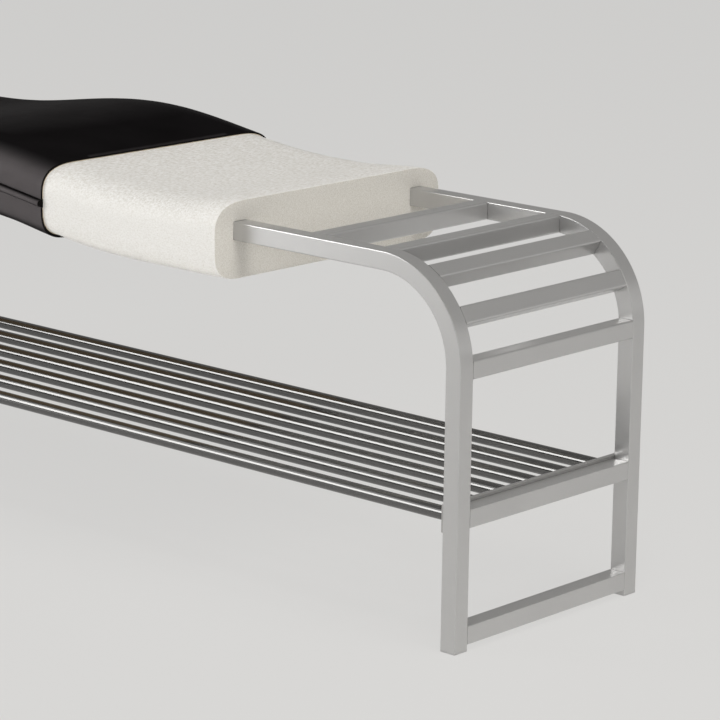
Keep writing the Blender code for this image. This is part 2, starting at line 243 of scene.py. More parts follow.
# Lamps. A direction points away from what the lamp lights. A lamp without a place of its own stands at a
# distance from the target. Its radiance is what a mirror shows of it.
TARGET = Vector((0.35, -0.05, 0.30))
FRONT = (-0.66, -0.70, 0.285)
UP = (0, 0, 1)
DOWN = (0, 0, -1)
CARD_Z = 0.002
GLOW_SHIFT = 0.435
GLOW_DROP = 0.0075
LAMPS = (
    {"name": "front_softbox", "direction": FRONT, "distance": 3.6, "size": (1.8, 1.25),
     "radiance": 6.8, "colour": (0.98, 0.99, 1.0), "in_gloss": False},
    {"name": "front_strip", "direction": FRONT, "distance": 3.58, "size": (1.8, 1.25),
     "radiance": 7.9, "colour": (1.0, 0.995, 0.985), "in_matte": False},
    {"name": "front_haze", "direction": (-0.652, -0.52, 0.55), "distance": 3.6, "size": (1.8, 1.2),
     "radiance": 1.5, "colour": (1.0, 0.995, 0.985), "in_matte": False},
    {"name": "right_softbox", "direction": (0.90, -0.16, 0.38), "distance": 3.6, "size": (4.0, 2.4),
     "radiance": 0.62, "colour": (1.0, 0.985, 0.965)},
    {"name": "top_softbox", "direction": (0.40, -0.14, 0.91), "distance": 3.2, "size": (1.9, 1.9),
     "radiance": 6.1, "colour": (1.0, 0.985, 0.96), "in_gloss": False},
    {"name": "back_softbox", "direction": (0.25, 0.80, 0.55), "distance": 5.0, "size": (5.0, 3.0),
     "radiance": 0.34, "colour": (1.0, 0.99, 0.98), "in_gloss": False},
    {"name": "eye_fill", "direction": (0.66, -0.71, 0.25), "distance": 3.4, "size": (1.6, 1.6),
     "radiance": 2.9, "colour": (0.99, 0.99, 0.99), "in_gloss": False},
    {"name": "bounce_card", "direction": DOWN, "place": (-1.75, -1.75, CARD_Z), "size": (1.9, 1.6),
     "radiance": 1.25, "colour": (1.0, 0.995, 0.99)},
    {"name": "floor_fill", "direction": DOWN, "place": (0.10, -0.95, CARD_Z), "size": (2.4, 0.9),
     "radiance": 0.80, "colour": (1.0, 0.99, 0.97), "in_gloss": False},
    {"name": "side_fill", "direction": DOWN, "place": (1.25, 0.15, CARD_Z), "size": (1.2, 1.2),
     "radiance": 0.51, "colour": (1.0, 0.99, 0.97), "in_gloss": False},
    {"name": "rear_card", "direction": (0.60, 0.72, 0.15), "distance": 5.0, "size": (5.0, 1.6),
     "radiance": 0.27, "colour": (1.0, 0.995, 0.985), "in_matte": False},
    {"name": "seat_glow", "direction": UP, "place": (LEATHER_CUT_X - GLOW_SHIFT, 0, SEAT_BOTTOM - GLOW_DROP),
     "size": (0.865, 0.34), "radiance": 0.23, "colour": (1.0, 0.64, 0.24), "in_matte": False},
)


# Meshes

def to_piece(name, verts, faces, materials, indices=None):
    """A mesh object, smooth over its round stretches, with flat faces kept flat."""
    mesh = bpy.data.meshes.new(name)
    mesh.from_pydata([tuple(v) for v in verts], [], faces)
    for material in materials:
        mesh.materials.append(material)
    if indices is not None:
        mesh.polygons.foreach_set("material_index", indices)
    shape = bmesh.new()
    shape.from_mesh(mesh)
    bmesh.ops.remove_doubles(shape, verts=shape.verts, dist=SAME_VERTEX)
    bmesh.ops.recalc_face_normals(shape, faces=shape.faces)
    shape.to_mesh(mesh)
    shape.free()
    mesh.shade_smooth()
    mesh.set_sharp_from_angle(angle=SMOOTH_ANGLE)
    piece = bpy.data.objects.new(name, mesh)
    bpy.context.scene.collection.objects.link(piece)
    return piece


def applied(piece):
    """Puts the result of a piece's modifiers into its mesh."""
    bpy.context.view_layer.update()
    graph = bpy.context.evaluated_depsgraph_get()
    mesh = bpy.data.meshes.new_from_object(piece.evaluated_get(graph), depsgraph=graph)
    piece.modifiers.clear()
    piece.data = mesh
    return piece


def even_normals(piece):
    """Lets the large flat faces set the shading at their edges."""
    weighted = piece.modifiers.new("weighted", "WEIGHTED_NORMAL")
    weighted.keep_sharp = True
    weighted.weight = FLAT_FACE_WEIGHT
    return applied(piece)


def dress(piece, node):
    """Rides a piece on the one body and hides the solid that it stands for."""
    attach(piece, "root")
    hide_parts(node)


def recolour(node, material):
    """Gives a carried-over solid its material."""
    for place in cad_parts[node].material_slots:
        place.material = material


def arc(centre, radius, start, steps):
    """Points of a quarter circle from a start angle, counter-clockwise."""
    angles = [start + QUARTER * step / steps for step in range(steps + 1)]
    return [(centre[0] + radius * math.cos(a), centre[1] + radius * math.sin(a)) for a in angles]


def full_turn(sides):
    """Even angles of a whole circle."""
    return [2 * math.pi * side / sides for side in range(sides)]


def rounded_rectangle(low, high, radius, steps):
    """Outline between two opposite corners, with each corner as an arc."""
    right, left = high[0] - radius, low[0] + radius
    top, bottom = high[1] - radius, low[1] + radius
    points = arc((right, top), radius, 0, steps)
    points += arc((left, top), radius, QUARTER, steps)
    points += arc((left, bottom), radius, math.pi, steps)
    points += arc((right, bottom), radius, -QUARTER, steps)
    return points


def full_corner(centre, size, start, steps):
    """Points of a quarter of a squarish oval from a start angle, counter-clockwise."""
    power = 2 / CORNER_FULLNESS
    points = []
    for step in range(steps + 1):
        turn = start + QUARTER * step / steps
        along, up = math.cos(turn), math.sin(turn)
        points.append((centre[0] + size[0] * math.copysign(abs(along) ** power, along),
                       centre[1] + size[1] * math.copysign(abs(up) ** power, up)))
    return points


def ring_faces(rings, count, start=0):
    """Quads between the rings of a closed section."""
    faces = []
    for ring in range(rings - 1):
        for point in range(count):
            a = start + ring * count + point
            b = start + ring * count + (point + 1) % count
            faces.append((a, b, b + count, a + count))
    return faces


def lofted(name, rings, materials):
    """A closed form through rings of equal count."""
    count = len(rings[0])
    verts = [point for ring in rings for point in ring]
    faces = ring_faces(len(rings), count)
    faces.append(tuple(range(count)))
    faces.append(tuple(range(len(verts) - count, len(verts))))
    return to_piece(name, verts, faces, materials)


# Materials

def new_material(name):
    """A node material with its tree and its shader."""
    material = bpy.data.materials.new(name)
    material.use_nodes = True
    return material, material.node_tree, material.node_tree.nodes["Principled BSDF"]


def feed(tree, socket, value):
    """Links a socket to another node's output, or sets the socket's own value."""
    if isinstance(value, bpy.types.NodeSocket):
        tree.links.new(value, socket)
    else:
        socket.default_value = value


def add_node(tree, kind, settings=None, **inputs):
    """A node with settings and inputs. An input is a value or another node's output."""
    made = tree.nodes.new(kind)
    for key, value in (settings or {}).items():
        setattr(made, key, value)
    for key, value in inputs.items():
        feed(tree, made.inputs[key.replace("_", " ")], value)
    return made


def computed(tree, operation, *values):
    """Result of a math node. A value is a number or another node's output."""
    made = add_node(tree, "ShaderNodeMath", {"operation": operation})
    for socket, value in zip(made.inputs, values):
        feed(tree, socket, value)
    return made.outputs["Value"]


def place_of(tree, stretch=(1, 1, 1)):
    """The point on the object, in metres, with a stretch."""
    point = add_node(tree, "ShaderNodeTexCoord").outputs["Object"]
    return add_node(tree, "ShaderNodeMapping", Vector=point, Scale=stretch).outputs["Vector"]


def upwardness(tree):
    """The height of the surface's normal: 1 on a level top, 0 on an upright face."""
    normal = add_node(tree, "ShaderNodeNewGeometry").outputs["Normal"]
    return add_node(tree, "ShaderNodeSeparateXYZ", Vector=normal).outputs["Z"]


def noise(tree, point, scale, detail=2.0, roughness=0.5):
    """Soft noise from 0 to 1."""
    made = add_node(tree, "ShaderNodeTexNoise", Vector=point, Scale=scale, Detail=detail,
                    Roughness=roughness)
    return made.outputs["Fac"]


def ranged(tree, value, low, high, to_low, to_high, course="LINEAR"):
    """A value taken from one range to another, kept inside it."""
    settings = {"clamp": True, "interpolation_type": course}
    made = add_node(tree, "ShaderNodeMapRange", settings, Value=value, From_Min=low, From_Max=high,
                    To_Min=to_low, To_Max=to_high)
    return made.outputs["Result"]


def clouds(tree, point, scale, to_low, to_high, detail=3.0):
    """Slow noise between two values."""
    return ranged(tree, noise(tree, point, scale, detail), *NOISE_RANGE, to_low, to_high)


def mixed(tree, share, first, second):
    """A colour between two. Each is a colour or another node's output."""
    made = add_node(tree, "ShaderNodeMix", {"data_type": "RGBA"})
    feed(tree, made.inputs[MIX_SHARE], share)
    for number, colour in ((MIX_FIRST, first), (MIX_SECOND, second)):
        linked = isinstance(colour, bpy.types.NodeSocket)
        feed(tree, made.inputs[number], colour if linked else (*colour, 1.0))
    return made.outputs[MIX_RESULT]


def bump(tree, shader, height, strength, distance, under=None):
    """Small relief on the surface, over another relief where one is given."""
    made = add_node(tree, "ShaderNodeBump", Height=height, Strength=strength, Distance=distance)
    if under is not None:
        tree.links.new(under, made.inputs["Normal"])
    tree.links.new(made.outputs["Normal"], shader.inputs["Normal"])


def metal(name, dark, light, metallic, roughness, stretch=(1, 1, 1), flake=1400.0, relief=0.006, shine=0.5):
    """Painted or plated metal with fine flakes and slow variation."""
    material, tree, shader = new_material(name)
    point = place_of(tree, stretch)
    flakes = noise(tree, point, flake, roughness=0.6)
    slow = clouds(tree, point, METAL_CLOUD_SCALE, *METAL_CLOUD_SHARE)
    share = computed(tree, "MULTIPLY_ADD", flakes, METAL_FLAKE_SHARE, slow)
    feed(tree, shader.inputs["Base Color"], mixed(tree, share, dark, light))
    smooth, rough = roughness - METAL_GLOSS_SPREAD, roughness + METAL_GLOSS_SPREAD
    feed(tree, shader.inputs["Roughness"], clouds(tree, point, METAL_GLOSS_SCALE, smooth, rough))
    shader.inputs["Metallic"].default_value = metallic
    shader.inputs["Specular IOR Level"].default_value = shine
    if relief:
        bump(tree, shader, noise(tree, point, flake * METAL_RELIEF_SHARE), relief, METAL_RELIEF_DEPTH)
    return material


def foam_material(name, dark, light, speck, stretch, side_grain, top_grain):
    """Open-cell foam: fine pale grain, with its own strength on sides and top, and a few darker pores."""
    material, tree, shader = new_material(name)
    point = place_of(tree, stretch)
    grain = noise(tree, point, FOAM_GRAIN_SCALE, detail=3.0, roughness=0.65)
    centred = ranged(tree, grain, *FOAM_GRAIN_RANGE, -0.5, 0.5)
    strength = ranged(tree, upwardness(tree), *FOAM_TOP_RANGE, side_grain, top_grain)
    tone = mixed(tree, computed(tree, "MULTIPLY_ADD", centred, strength, 0.5), dark, light)
    pores = noise(tree, point, FOAM_PORE_SCALE, roughness=0.6)
    tone = mixed(tree, ranged(tree, pores, *FOAM_PORE_RANGE, 0.0, FOAM_PORE_SHARE), tone, speck)
    feed(tree, shader.inputs["Base Color"], tone)
    shader.inputs["Roughness"].default_value = FOAM_ROUGHNESS
    shader.inputs["Specular IOR Level"].default_value = FOAM_SHINE
    bump(tree, shader, grain, FOAM_RELIEF, FOAM_RELIEF_DEPTH)
    return material


def leather_gloss(tree):
    """Share of the leather's gloss, by the lean of its surface and the angle of the glance."""
    lean = computed(tree, "ARCCOSINE", upwardness(tree))
    facing = add_node(tree, "ShaderNodeLayerWeight", Blend=0.5).outputs["Facing"]
    side = ranged(tree, lean, *SIDE_LEAN, 0.0, SIDE_SHINE, "SMOOTHSTEP")
    glance = ranged(tree, facing, *GLANCE_RANGE, 0.0, GLANCE_SHINE, "SMOOTHSTEP")
    below = ranged(tree, lean, *UNDER_LEAN, 1.0, UNDER_SHARE, "SMOOTHSTEP")
    return computed(tree, "MULTIPLY", computed(tree, "ADD", side, glance), below)


def leather_material(name):
    """Smooth black leather with a fine pebble grain."""
    material, tree, shader = new_material(name)
    point = place_of(tree)
    tone = mixed(tree, clouds(tree, point, LEATHER_CLOUD_SCALE, 0.0, 1.0), LEATHER_DARK, LEATHER_LIGHT)
    feed(tree, shader.inputs["Base Color"], tone)
    feed(tree, shader.inputs["Roughness"], clouds(tree, point, LEATHER_WEAR_SCALE, *LEATHER_ROUGHNESS))
    feed(tree, shader.inputs["Specular IOR Level"], leather_gloss(tree))
    shader.inputs["Specular Tint"].default_value = (*LEATHER_TINT, 1.0)
    shader.inputs["IOR"].default_value = LEATHER_IOR
    pebbles = add_node(tree, "ShaderNodeTexVoronoi", {"feature": "SMOOTH_F1"}, Vector=point,
                       Scale=PEBBLE_SCALE, Smoothness=PEBBLE_SMOOTHNESS).outputs["Distance"]
    under = add_node(tree, "ShaderNodeBump", Height=pebbles, Strength=PEBBLE_RELIEF, Distance=PEBBLE_DEPTH)
    pores = noise(tree, point, LEATHER_PORE_SCALE)
    bump(tree, shader, pores, LEATHER_PORE_RELIEF, LEATHER_PORE_DEPTH, under.outputs["Normal"])
    return material


def raw_material(name, dark, light, scale, roughness):
    """Fibrous or finely moulded surface, such as a cut edge, a backing or a plug."""
    material, tree, shader = new_material(name)
    fibres = noise(tree, place_of(tree), scale, detail=3.0, roughness=0.6)
    tone = mixed(tree, ranged(tree, fibres, *NOISE_RANGE, 0.0, 1.0), dark, light)
    feed(tree, shader.inputs["Base Color"], tone)
    shader.inputs["Roughness"].default_value = roughness
    shader.inputs["Specular IOR Level"].default_value = RAW_SHINE
    bump(tree, shader, fibres, RAW_RELIEF, RAW_RELIEF_DEPTH)
    return material


def floor_material():
    """Pale plain floor that shows its own colour to the eye and to metal, and keeps a soft shadow."""
    material, tree, shader = new_material("studio_floor")
    broad = clouds(tree, place_of(tree), FLOOR_CLOUD_SCALE, 0.0, 1.0, detail=2.0)
    feed(tree, shader.inputs["Base Color"], mixed(tree, broad, FLOOR_DARK, FLOOR_LIGHT))
    shader.inputs["Roughness"].default_value = 1.0
    shader.inputs["Specular IOR Level"].default_value = 0.0
    glow = add_node(tree, "ShaderNodeEmission", Color=(*FLOOR_GLOW, 1.0), Strength=1.0)
    rays = add_node(tree, "ShaderNodeLightPath").outputs
    mirrored_rays = computed(tree, "MAXIMUM", rays["Is Glossy Ray"], rays["Is Transmission Ray"])
    in_metal = computed(tree, "MULTIPLY", mirrored_rays, 1.0 - MIRRORED_SHADOW)
    share = computed(tree, "MULTIPLY_ADD", rays["Is Camera Ray"], 1.0 - FLOOR_SHADOW, in_metal)
    mix = add_node(tree, "ShaderNodeMixShader", Fac=share)
    tree.links.new(shader.outputs[0], mix.inputs[1])
    tree.links.new(glow.outputs[0], mix.inputs[2])
    tree.links.new(mix.outputs[0], tree.nodes["Material Output"].inputs["Surface"])
    material.cycles.emission_sampling = "NONE"
    return material


SILVER = metal("satin_silver", dark=(0.503, 0.500, 0.496), light=(0.570, 0.567, 0.563),
               metallic=0.72, roughness=0.29)
# A darker copy of the satin silver for the rack's end bars: painted shade for the narrow gap beside the
# crossbars.
SHADED_BAR_SILVER = metal("satin_silver_bar_painted_shade", dark=(0.395, 0.389, 0.381), light=(0.455, 0.449, 0.441),
                   metallic=0.62, roughness=0.30)
ROD_METAL = metal("dark_chrome", dark=(0.1085, 0.1075, 0.1060), light=(0.1240, 0.1230, 0.1210),
                  metallic=0.64, roughness=0.10, stretch=(0.05, 1, 1), flake=900.0, relief=0.0, shine=1.0)
FOAM = foam_material("foam", dark=(0.72, 0.70, 0.655), light=(0.92, 0.911, 0.892), speck=(0.57, 0.53, 0.465),
                     stretch=(0.6, 0.26, 1), side_grain=0.38, top_grain=1.0)
# Foam of the cut face: the same foam with a darker, warmer colour, which is painted shade for the weaker
# light on that face.
SHADED_FOAM_CUT = foam_material("foam_cut_face_painted_shade", dark=(0.590, 0.562, 0.505), light=(0.760, 0.742, 0.700),
                         speck=(0.45, 0.405, 0.338), stretch=(1, 1, 1), side_grain=0.7, top_grain=0.7)
LEATHER_SKIN = leather_material("black_leather")
# Black raw core of the leather, for its cut edges and the piping's flanges. On the piping's cut end the same
# black is painted shade for the cord's dark open end.
LEATHER_CORE_AND_HOLE_SHADE = raw_material("leather_cut_edge_and_hole_shade", dark=(0.002, 0.002, 0.002), light=(0.006, 0.005, 0.005),
                            scale=1500.0, roughness=0.9)
LEATHER_BACK = raw_material("leather_backing", dark=(0.54, 0.45, 0.33), light=(0.70, 0.61, 0.47),
                            scale=1100.0, roughness=0.95)
PLUG = raw_material("plug_plastic", dark=(0.022, 0.022, 0.023), light=(0.034, 0.034, 0.035),
                    scale=700.0, roughness=0.55)


# Frame and rack

def bend_stations(centre_x, start):
    """Centres and outward directions round a frame tube's bend, from a start angle on."""
    stations = []
    for step in range(BEND_STEPS + 1):
        turn = start + QUARTER * step / BEND_STEPS
        out_x, out_z = math.cos(turn), math.sin(turn)
        stations.append((centre_x + BEND_REACH * out_x, BEND_Z + BEND_REACH * out_z, out_x, out_z))
    return stations


def corner_at(station):
    """Corner radius of a frame tube: softer on the rail than on the leg."""
    return LEG_CORNER + (TUBE_CORNER - LEG_CORNER) * station[3] ** 2


def tube_ring(station, y, half, corner):
    """One section of a tube in space."""
    x, z, out_x, out_z = station
    section = rounded_rectangle((-half, -half), (half, half), corner, CORNER_STEPS)
    return [(x + out_x * a, y + b, z + out_z * a) for a, b in section]


def frame_tube(name, y):
    """One bent tube with open feet."""
    half = TUBE / 2
    inner = half - TUBE_WALL
    foot = ((FOOT_DEPTH, inner, LEG_CORNER / 2), (0, inner, LEG_CORNER / 2),
            (0, half - BAR_CHAMFER, LEG_CORNER), (BAR_CHAMFER, half, LEG_CORNER))
    rings = [tube_ring((RIGHT_FACE - half, z, 1.0, 0.0), y, size, corner) for z, size, corner in foot]
    for station in bend_stations(RIGHT_BEND_X, 0) + bend_stations(LEFT_BEND_X, QUARTER):
        rings.append(tube_ring(station, y, half, corner_at(station)))
    rings += [tube_ring((LEFT_FACE + half, z, -1.0, 0.0), y, size, corner) for z, size, corner in foot[::-1]]
    return even_normals(lofted(name, rings, [SILVER]))


def cross_bar(name, x, z, tilt, width, height, corner, length, material):
    """A bar along y with softly broken end edges."""
    rings = []
    for y, less in ((-length / 2, BAR_CHAMFER), (-length / 2 + BAR_CHAMFER, 0.0),
                    (length / 2 - BAR_CHAMFER, 0.0), (length / 2, BAR_CHAMFER)):
        low = (-width / 2 + less, -height / 2 + less)
        section = rounded_rectangle(low, (-low[0], -low[1]), corner, CORNER_STEPS)
        ring = []
        for a, b in section:
            turned_x = a * math.cos(tilt) + b * math.sin(tilt)
            turned_z = -a * math.sin(tilt) + b * math.cos(tilt)
            ring.append((x + turned_x, y, z + turned_z))
        rings.append(ring)
    return even_normals(lofted(name, rings, [material]))


def slat_places():
    """Centres and tilts of the right end's slats, from the seat towards the leg."""
    places = [(INNER_SLAT_X, RAIL_MIDDLE, 0.0), (OUTER_SLAT_X, RAIL_MIDDLE, 0.0)]
    for step in range(1, BEND_SLATS + 1):
        tilt = QUARTER * step / BEND_SLATS
        x, z = RIGHT_BEND_X + BEND_REACH * math.sin(tilt), BEND_Z + BEND_REACH * math.cos(tilt)
        places.append((x, z, tilt))
    return places


def mirrored(x):
    """The place at the other end of the frame."""
    return 2 * MIDDLE_X - x


def add_frame():
    """Smooth tubes, slats and crossbars over the frame's solids, and finishes for the hidden ones."""
    for side, y in (("front", -TUBE_Y), ("rear", TUBE_Y)):
        dress(frame_tube(f"{side}_tube", y), f"{side}_frame_tube")
    for number, (x, z, tilt) in enumerate(slat_places(), 1):
        slat = cross_bar(f"slat_{number}", x, z, tilt, TUBE, TUBE, SLAT_CORNER, CROSS_LENGTH, SILVER)
        dress(slat, f"right_slat_{number}")
        recolour(f"left_slat_{number}", SILVER)
    for end, x in (("right", RIGHT_FACE - TUBE / 2), ("left", LEFT_FACE + TUBE / 2)):
        for level, z in (("rack", RACK_HEIGHT), ("floor", FLOOR_BAR_LIFT + TUBE / 2)):
            bar = cross_bar(f"{end}_{level}_bar", x, z, 0.0, TUBE, TUBE, LEG_CORNER, CROSS_LENGTH, SILVER)
            dress(bar, f"{end}_{level}_crossbar")
        for side in ("front", "rear"):
            recolour(f"{end}_{side}_leg_plug", PLUG)
    for number in range(1, MIDDLE_SLATS + 1):
        recolour(f"middle_slat_{number}", SILVER)


def add_rack():
    """Six smooth rods between the two flat end bars."""
    bar_length = FRAME_DEPTH - 2 * END_BAR_INSET
    rod_z = RACK_HEIGHT - ROD_DROP
    bar_x = RIGHT_FACE - TUBE - CLEARANCE - END_BAR_THICKNESS / 2
    for end, x in (("right", bar_x), ("left", mirrored(bar_x))):
        # The end bars take the darker silver, whose darkness is painted shade.
        bar = cross_bar(f"{end}_end_bar", x, rod_z, 0.0, END_BAR_THICKNESS, END_BAR_HEIGHT, END_BAR_CORNER,
                        bar_length, SHADED_BAR_SILVER)
        dress(bar, f"{end}_rack_end_bar")
    rod_end = bar_x - END_BAR_THICKNESS / 2 - CLEARANCE
    first_y = -bar_length / 2 + ROD_MARGIN + ROD_DIAMETER / 2
    pitch = -2 * first_y / (ROD_COUNT - 1)
    for number in range(ROD_COUNT):
        y = first_y + pitch * number
        rings = []
        for x, less in ((rod_end, BAR_CHAMFER), (rod_end - BAR_CHAMFER, 0.0),
                        (mirrored(rod_end) + BAR_CHAMFER, 0.0), (mirrored(rod_end), BAR_CHAMFER)):
            radius = ROD_DIAMETER / 2 - less
            rings.append([(x, y + radius * math.cos(a), rod_z + radius * math.sin(a))
                          for a in full_turn(ROD_SIDES)])
        rod = even_normals(lofted(f"rod_{number + 1}", rings, [ROD_METAL]))
        dress(rod, f"rack_rod_{number + 1}")


# Seat

def crest_share(x):
    """Share of the crest's rise: 1 in the middle of the bench, 0 from the hollows outwards."""
    reach = min(abs(x - MIDDLE_X) / HOLLOW_OFFSET, 1.0)
    return (0.5 + 0.5 * math.cos(math.pi * reach)) ** CREST_SHARPNESS


def hollow_share(x):
    """Share of the hollows' depth: 1 as far as the hollows, fading to 0 towards the ends."""
    past = (abs(x - MIDDLE_X) - HOLLOW_OFFSET) / HOLLOW_FADE
    past = min(max(past, 0.0), 1.0)
    return 0.5 + 0.5 * math.cos(math.pi * past)


def seat_point(station, y, z):
    """A point of the seat's section at a station: a place along x, a turn of the bend or a drop below it."""
    kind, value = station
    if kind == "along":
        crest = crest_share(value)
        top_rise = (SEAT_CREST + SEAT_HOLLOW) * crest - SEAT_HOLLOW * hollow_share(value)
        height = (z - SEAT_BOTTOM) / SEAT_THICKNESS
        return (value, y, z + height * top_rise + (1 - height) * UNDERSIDE_RISE * crest)
    reach = z - BEND_Z
    if kind == "turn":
        return (LEFT_BEND_X - reach * math.sin(value), y, BEND_Z + reach * math.cos(value))
    return (LEFT_BEND_X - reach, y, BEND_Z - value)


def hung_point(station, y, z):
    """A point of the lower panel, which hangs a little below the foam near its cut edge."""
    x, y, height = seat_point(station, y, z)
    if station[0] != "along":
        return (x, y, height)
    near = max(0.0, 1.0 - (LEATHER_CUT_X - x) / HANG_FADE)
    low = min(max((SIDE_TOP - z) / (SIDE_TOP - SEAT_BOTTOM), 0.0), 1.0)
    return (x, y, height - HANG * near * near * (3 - 2 * near) * low)


def stations_between(start, end, step):
    """Even places along x."""
    count = max(1, round(abs(end - start) / step))
    return [("along", start + (end - start) * number / count) for number in range(count + 1)]


def seat_end_stations():
    """The padded bend and the drop below it."""
    turns = [("turn", QUARTER * step / SEAT_BEND_STEPS) for step in range(1, SEAT_BEND_STEPS + 1)]
    drop = BEND_Z - PADDED_END_Z
    return turns + [("drop", drop * step / SEAT_DROP_STEPS) for step in range(1, SEAT_DROP_STEPS + 1)]


def line(first, last, steps):
    """Points between two ends, without the ends."""
    return [(first[0] + (last[0] - first[0]) * n / steps, first[1] + (last[1] - first[1]) * n / steps)
            for n in range(1, steps)]


def seat_outline(grow):
    """Closed outline of the seat, grown on all sides: front top corner first, over the top and round."""
    top_y, low_y = SEAT_WIDTH / 2 - TOP_CORNER_WIDTH, SEAT_WIDTH / 2 - LOW_CORNER_WIDTH
    top_size = (TOP_CORNER_WIDTH + grow, SEAT_CORNER + grow)
    low_size = (LOW_CORNER_WIDTH + grow, SEAT_CORNER + grow)
    front_top = full_corner((-top_y, SIDE_TOP), top_size, QUARTER, SEAT_CORNER_STEPS)[::-1]
    rear_top = full_corner((top_y, SIDE_TOP), top_size, 0, SEAT_CORNER_STEPS)[::-1]
    rear_low = full_corner((low_y, SIDE_BOTTOM), low_size, -QUARTER, SEAT_CORNER_STEPS)[::-1]
    front_low = full_corner((-low_y, SIDE_BOTTOM), low_size, math.pi, SEAT_CORNER_STEPS)[::-1]
    points = front_top + line(front_top[-1], rear_top[0], SEAT_TOP_STEPS)
    points += rear_top + line(rear_top[-1], rear_low[0], SEAT_SIDE_STEPS)
    points += rear_low + line(rear_low[-1], front_low[0], SEAT_TOP_STEPS)
    points += front_low + line(front_low[-1], front_top[0], SEAT_SIDE_STEPS)
    return points


def panel_outline(grow, upper):
    """Open outline of a leather panel, from the front seam to the rear seam."""
    points = seat_outline(grow)
    top = 2 * (SEAT_CORNER_STEPS + 1) + SEAT_TOP_STEPS - 1
    half = SEAT_WIDTH / 2 + grow
    if upper:
        seam = PIPING_Z + SEAM_HALF + SEAM_ROUND
        return [(-half, seam)] + points[:top] + [(half, seam)]
    seam = PIPING_Z - SEAM_HALF - SEAM_ROUND
    low = points[top + SEAT_SIDE_STEPS - 1:len(points) - SEAT_SIDE_STEPS + 1]
    return [(-half, seam)] + low[::-1] + [(half, seam)]


def is_inside(point, border):
    """Whether a point lies inside a closed outline."""
    hit = False
    for a, b in zip(border, border[1:] + border[:1]):
        if (a.y > point.y) != (b.y > point.y):
            cross = a.x + (point.y - a.y) / (b.y - a.y) * (b.x - a.x)
            hit = hit != (point.x < cross)
    return hit


def filled(outline, spacing):
    """Triangles inside a closed outline of 2-D points, with even points inside it."""
    border = [Vector(p) for p in outline]
    edges = [(n, (n + 1) % len(border)) for n in range(len(border))]
    low = Vector((min(p.x for p in border), min(p.y for p in border)))
    high = Vector((max(p.x for p in border), max(p.y for p in border)))
    rows = int((high.y - low.y) / spacing)
    columns = int((high.x - low.x) / spacing)
    inside = []
    for row in range(1, rows):
        shift = CUT_ROW_SHIFT if row % 2 else -CUT_ROW_SHIFT
        for column in range(1, columns):
            point = Vector((low.x + (column + shift) * spacing, low.y + row * spacing))
            gap = min((point - p).length for p in border)
            if gap > CUT_BORDER_GAP * spacing and is_inside(point, border):
                inside.append(point)
    verts, _, faces, _, _, _ = delaunay_2d_cdt(border + inside, edges, [], INSIDE_TRIANGLES, SAME_CUT_POINT)
    return [(v.x, v.y) for v in verts], [tuple(f) for f in faces]


def channel_cutters():
    """Bodies of the frame tubes and of the slats inside the seat, a little larger than these."""
    cutters = []
    half = TUBE / 2 + CLEARANCE
    stations = [(INNER_SLAT_X, RAIL_MIDDLE, 0.0, 1.0)] + bend_stations(LEFT_BEND_X, QUARTER)
    stations.append((LEFT_FACE + TUBE / 2, PADDED_END_Z - TUBE, -1.0, 0.0))
    for y in (-TUBE_Y, TUBE_Y):
        rings = [tube_ring(station, y, half, corner_at(station)) for station in stations]
        cutters.append(lofted("channel", rings, []))
    places = [(mirrored(x), z, -tilt) for x, z, tilt in slat_places()]
    span = mirrored(INNER_SLAT_X) - INNER_SLAT_X
    for number in range(1, MIDDLE_SLATS + 1):
        places.append((INNER_SLAT_X + span * number / (MIDDLE_SLATS + 1), RAIL_MIDDLE, 0.0))
    size = Matrix.Diagonal((2 * half, CROSS_LENGTH + 2 * CLEARANCE, 2 * half, 1))
    for x, z, tilt in places:
        shape = bmesh.new()
        turn = Matrix.Translation((x, 0, z)) @ Matrix.Rotation(tilt, 4, "Y")
        bmesh.ops.create_cube(shape, size=1, matrix=turn @ size)
        mesh = bpy.data.meshes.new("pocket")
        shape.to_mesh(mesh)
        shape.free()
        cutter = bpy.data.objects.new("pocket", mesh)
        bpy.context.scene.collection.objects.link(cutter)
        cutters.append(cutter)
    return cutters


def cut_out(piece, cutters):
    """Cuts the channels and pockets out of a piece."""
    group = bpy.data.collections.new("seat_cutters")
    bpy.context.scene.collection.children.link(group)
    for cutter in cutters:
        group.objects.link(cutter)
    cut = piece.modifiers.new("channels", "BOOLEAN")
    cut.operation = "DIFFERENCE"
    cut.operand_type = "COLLECTION"
    cut.collection = group
    cut.solver = "EXACT"
    applied(piece)
    bpy.data.collections.remove(group)
    piece.data.shade_smooth()
    piece.data.set_sharp_from_angle(angle=SMOOTH_ANGLE)
    return piece


def add_foam(cutters):
    """The whole foam, fine where it is bare, with a softly broken cut edge and painted shade on its cut face.
    """
    rings = []
    for step in range(FOAM_EDGE_STEPS):
        turn = QUARTER * step / FOAM_EDGE_STEPS
        x = FOAM_CUT_X - FOAM_EDGE * (1 - math.cos(turn))
        rings.append((("along", x), -FOAM_EDGE * (1 - math.sin(turn))))
    bare = stations_between(FOAM_CUT_X - FOAM_EDGE, LEATHER_CUT_X, FOAM_STEP)
    hidden = stations_between(LEATHER_CUT_X, LEFT_BEND_X, COVER_STEP)[1:]
    rings += [(station, 0.0) for station in bare + hidden + seat_end_stations()]
    count = len(seat_outline(0))
    verts = [seat_point(station, y, z) for station, grow in rings for y, z in seat_outline(grow)]
    faces = ring_faces(len(rings), count)
    faces.append(tuple(range(len(verts) - count, len(verts))))
    flat, triangles = filled(seat_outline(-FOAM_EDGE), CUT_FACE_STEP)
    start = len(verts)
    verts += [seat_point(("along", FOAM_CUT_X), y, z) for y, z in flat]
    faces += [tuple(start + v for v in face) for face in triangles]
    # The cut face's triangles take the foam with painted shade.
    indices = [0] * (len(faces) - len(triangles)) + [1] * len(triangles)
    foam = cut_out(to_piece("foam_pad", verts, faces, [FOAM, SHADED_FOAM_CUT], indices), cutters)
    dress(foam, "seat_foam")


